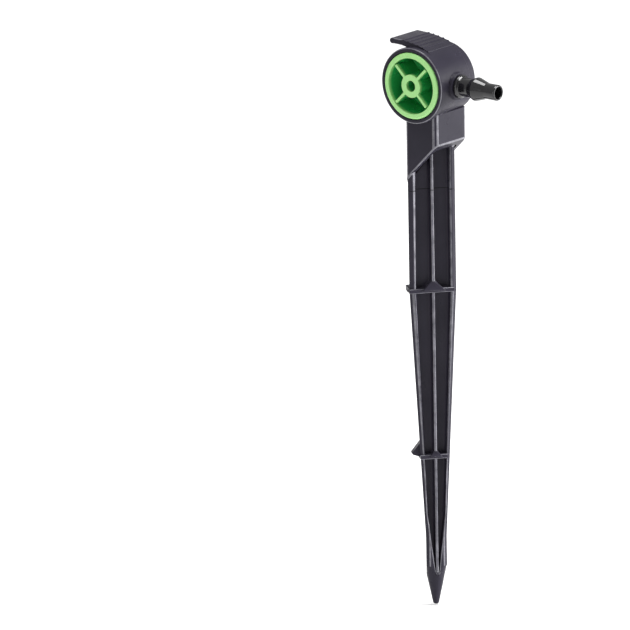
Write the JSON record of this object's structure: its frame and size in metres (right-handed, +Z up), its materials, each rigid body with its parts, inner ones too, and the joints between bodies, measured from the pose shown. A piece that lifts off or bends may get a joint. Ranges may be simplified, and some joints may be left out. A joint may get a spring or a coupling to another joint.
{
  "type": "drip emitter",
  "caption": "Drip irrigation emitter on a tapered ground spike, with a side barb for micro tube and a take-apart round flow insert that meters the water.",
  "frame": {"origin": "the tip of the ground spike, on the spike's axis", "axes": "+Z up the spike towards the emitter, +X along the tube barb away from the housing, -Y out of the coloured insert's face"},
  "size_m": [0.028, 0.0135, 0.1297],
  "materials": {
    "body_plastic": "satin black moulded plastic",
    "barb_plastic": "glossy black plastic",
    "insert_plastic": "bright green semi-gloss plastic",
    "seal_rubber": "black rubber",
    "diaphragm_rubber": "milky silicone rubber",
    "plate_plastic": "dark grey plastic"
  },
  "bodies": {
    "spike": {"spike_body": "body_plastic", "inlet_barb": "barb_plastic"},
    "seal": {"insert_o_ring": "seal_rubber"},
    "insert": {"flow_insert": "insert_plastic", "diaphragm": "diaphragm_rubber", "metering_plate": "plate_plastic"}
  },
  "joints": [
    {"name": "insert_pull", "type": "slide", "parent": "spike", "child": "seal", "axis": [0, -1, 0], "range_m": [0, 0.016]},
    {"name": "insert_turn", "type": "hinge", "parent": "seal", "child": "insert", "pos_m": [0.0011, -0.0074, 0.12], "axis": [0, -1, 0], "continuous": true}
  ]
}
